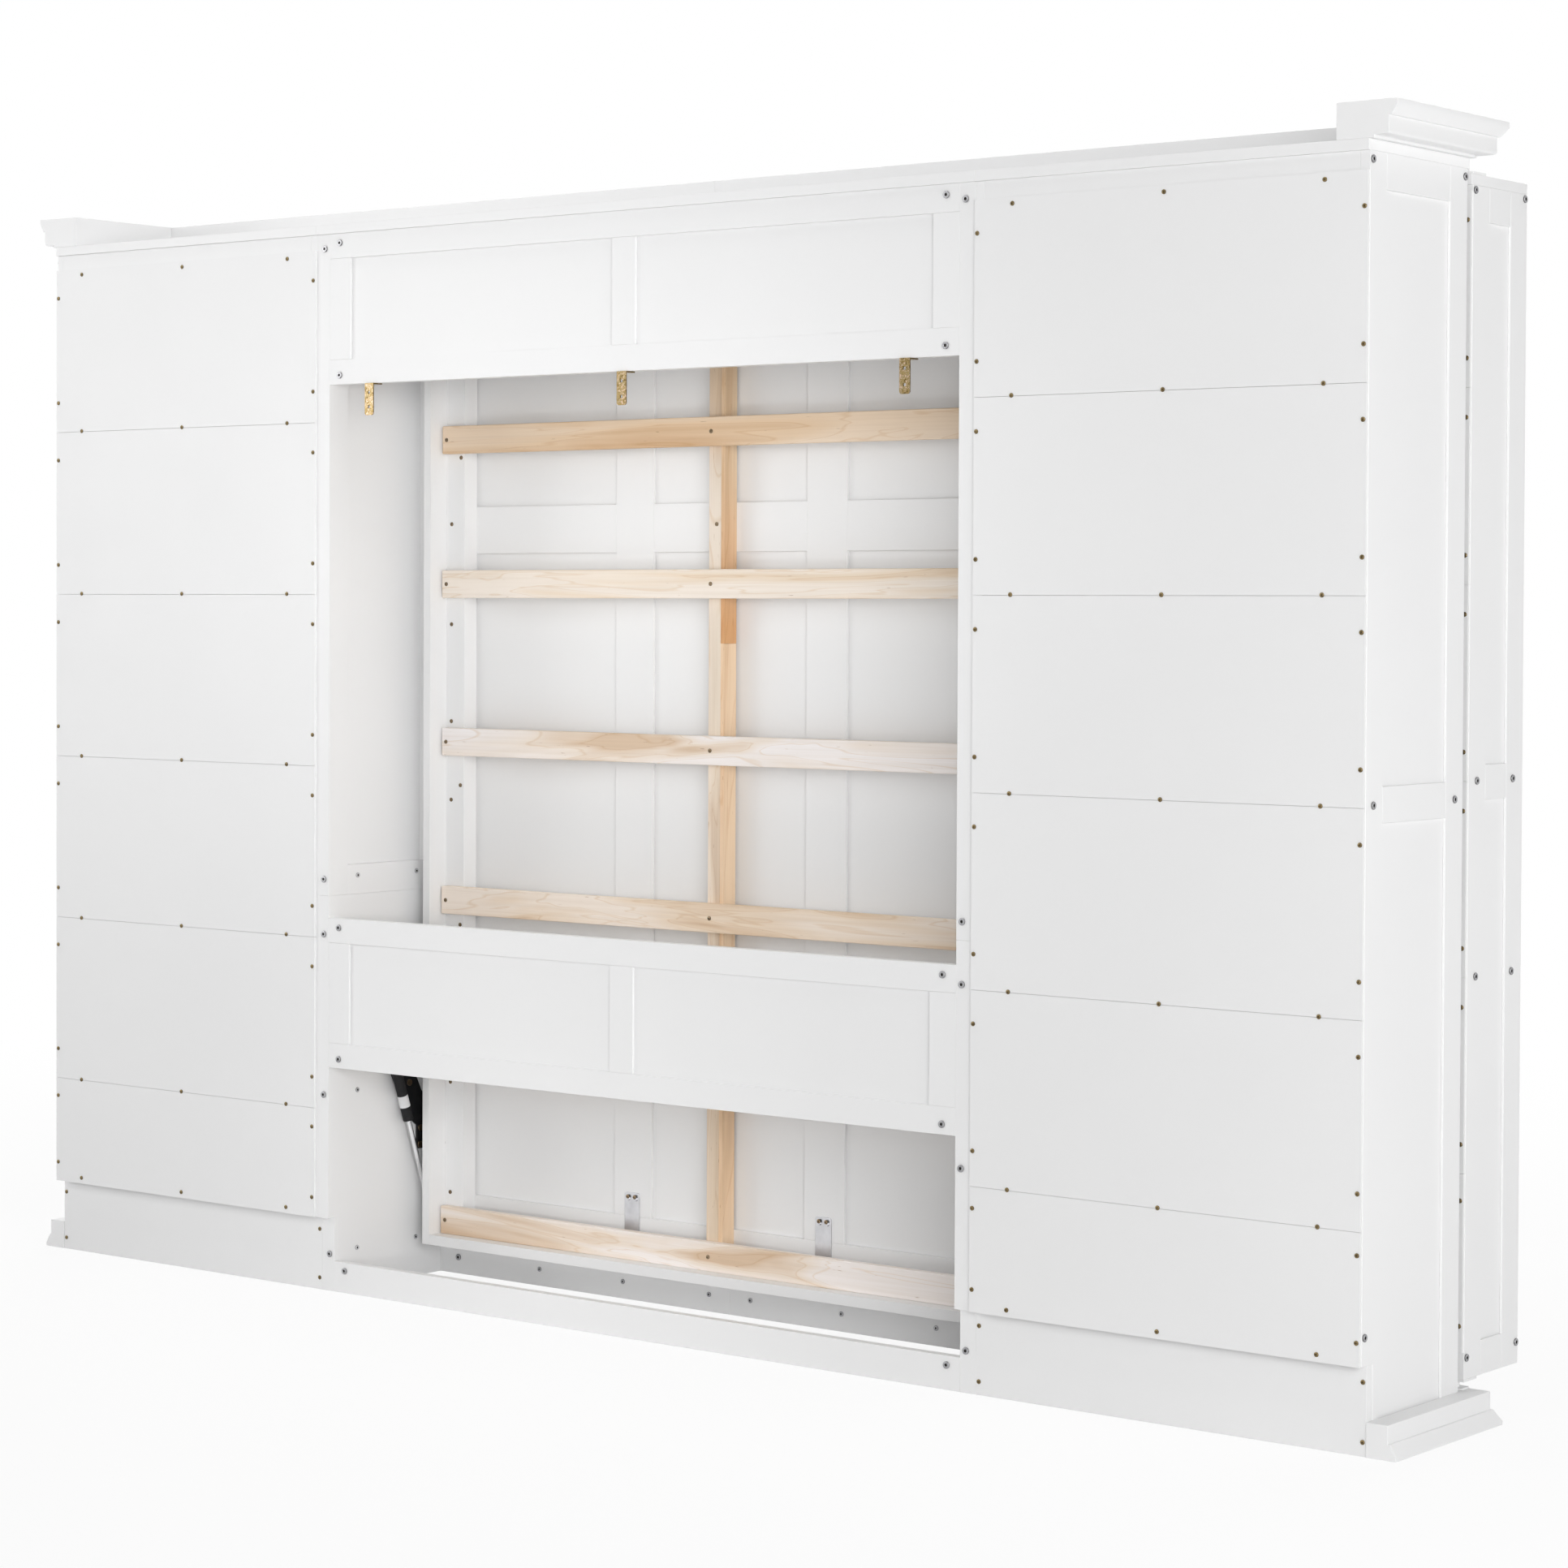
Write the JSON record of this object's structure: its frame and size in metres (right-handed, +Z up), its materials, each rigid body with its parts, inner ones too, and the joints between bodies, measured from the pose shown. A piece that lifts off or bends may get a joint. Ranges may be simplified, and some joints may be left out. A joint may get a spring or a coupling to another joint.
{
  "type": "wall bed",
  "caption": "Folding wall bed with slatted tray, gas struts and a fold-out foot between framed side cabinets that swing-out bookcases close.",
  "frame": {"origin": "on the floor, under the middle of the whole piece", "axes": "+Z up, the room side faces -Y, +X to the right seen from the room"},
  "size_m": [3.19, 0.536, 2.139],
  "materials": {
    "white_paint": "satin white paint",
    "bare_wood": "planed, unfinished",
    "brass_screws": "yellow zinc plated",
    "steel_bolts": "zinc plated",
    "yellow_zinc": "yellow zinc plated",
    "black_steel": "satin black",
    "chrome_rod": "polished",
    "bright_steel": "zinc plated"
  },
  "bodies": {
    "carcass": {"right_outer_side": "white_paint", "left_outer_side": "white_paint", "right_inner_side": "white_paint", "left_inner_side": "white_paint", "right_cabinet_boards": "white_paint", "left_cabinet_boards": "white_paint", "right_back_panels": "white_paint", "left_back_panels": "white_paint", "right_top_board": "white_paint", "left_top_board": "white_paint", "right_bed_side": "white_paint", "left_bed_side": "white_paint", "right_crown_return": "white_paint", "left_crown_return": "white_paint", "right_base_return": "white_paint", "left_base_return": "white_paint", "plinths": "white_paint", "bed_top_board": "white_paint", "rear_top_frame": "white_paint", "rear_top_panels": "white_paint", "rear_middle_frame": "white_paint", "rear_middle_panels": "white_paint", "rear_floor_rail": "white_paint", "crown_front": "white_paint", "base_front": "white_paint", "back_screws": "brass_screws", "frame_bolts": "steel_bolts", "wall_brackets": "yellow_zinc", "right_pivot_plate": "black_steel", "left_pivot_plate": "black_steel", "hinge_pins": "bright_steel"},
    "bed": {"right_bed_rail": "white_paint", "left_bed_rail": "white_paint", "bed_end_boards": "white_paint", "slat_ledges": "white_paint", "centre_beam": "bare_wood", "slats": "bare_wood", "bed_screws": "brass_screws", "face_frame": "white_paint", "face_panels": "white_paint", "face_ties": "bright_steel", "bed_brackets": "black_steel", "leg_hinges": "bright_steel"},
    "leg_frame": {"leg_frame": "black_steel"},
    "right_barrel": {"right_strut_barrel": "black_steel"},
    "right_rod": {"right_strut_rod": "chrome_rod"},
    "right_bookcase": {"right_bookcase_sides": "white_paint", "right_bookcase_shelves": "white_paint", "right_bookcase_backs": "white_paint", "right_bookcase_bolts": "steel_bolts", "right_hinge_shoes": "bright_steel"},
    "left_barrel": {"left_strut_barrel": "black_steel"},
    "left_rod": {"left_strut_rod": "chrome_rod"},
    "left_bookcase": {"left_bookcase_sides": "white_paint", "left_bookcase_shelves": "white_paint", "left_bookcase_backs": "white_paint", "left_bookcase_bolts": "steel_bolts", "left_hinge_shoes": "bright_steel"}
  },
  "joints": [
    {"name": "bed_fold", "type": "hinge", "parent": "carcass", "child": "bed", "pos_m": [0, -0.019, 0.27], "axis": [1, 0, 0], "range_deg": [0, 90], "stiffness_Nm_per_rad": 130, "springref_deg": -38.39},
    {"name": "leg_swing", "type": "hinge", "parent": "bed", "child": "leg_frame", "pos_m": [0, -0.0655, 1.951], "axis": [-1, 0, 0], "range_deg": [0, 90]},
    {"name": "right_strut_swing", "type": "hinge", "parent": "carcass", "child": "right_barrel", "pos_m": [0.731, 0.152, 0.6], "axis": [1, 0, 0], "range_deg": [0, 16.72]},
    {"name": "right_strut_stroke", "type": "slide", "parent": "right_barrel", "child": "right_rod", "axis": [0, -0.3191, -0.9477], "range_m": [-0.19335, 0]},
    {"name": "right_bookcase_swing", "type": "hinge", "parent": "carcass", "child": "right_bookcase", "pos_m": [1.524, -0.085, 0.072], "axis": [0, 0, 1], "range_deg": [0, 90]},
    {"name": "left_strut_swing", "type": "hinge", "parent": "carcass", "child": "left_barrel", "pos_m": [-0.731, 0.152, 0.6], "axis": [1, 0, 0], "range_deg": [0, 16.72]},
    {"name": "left_strut_stroke", "type": "slide", "parent": "left_barrel", "child": "left_rod", "axis": [0, -0.3191, -0.9477], "range_m": [-0.19335, 0]},
    {"name": "left_bookcase_swing", "type": "hinge", "parent": "carcass", "child": "left_bookcase", "pos_m": [-1.524, -0.085, 0.072], "axis": [0, 0, -1], "range_deg": [0, 90]}
  ],
  "couplings": [
    {"joint": "right_strut_swing", "follows": "bed_fold", "ratio": 0.18517},
    {"joint": "right_strut_stroke", "follows": "bed_fold", "m_per_rad": -0.12277},
    {"joint": "left_strut_swing", "follows": "bed_fold", "ratio": 0.18517},
    {"joint": "left_strut_stroke", "follows": "bed_fold", "m_per_rad": -0.12277}
  ]
}
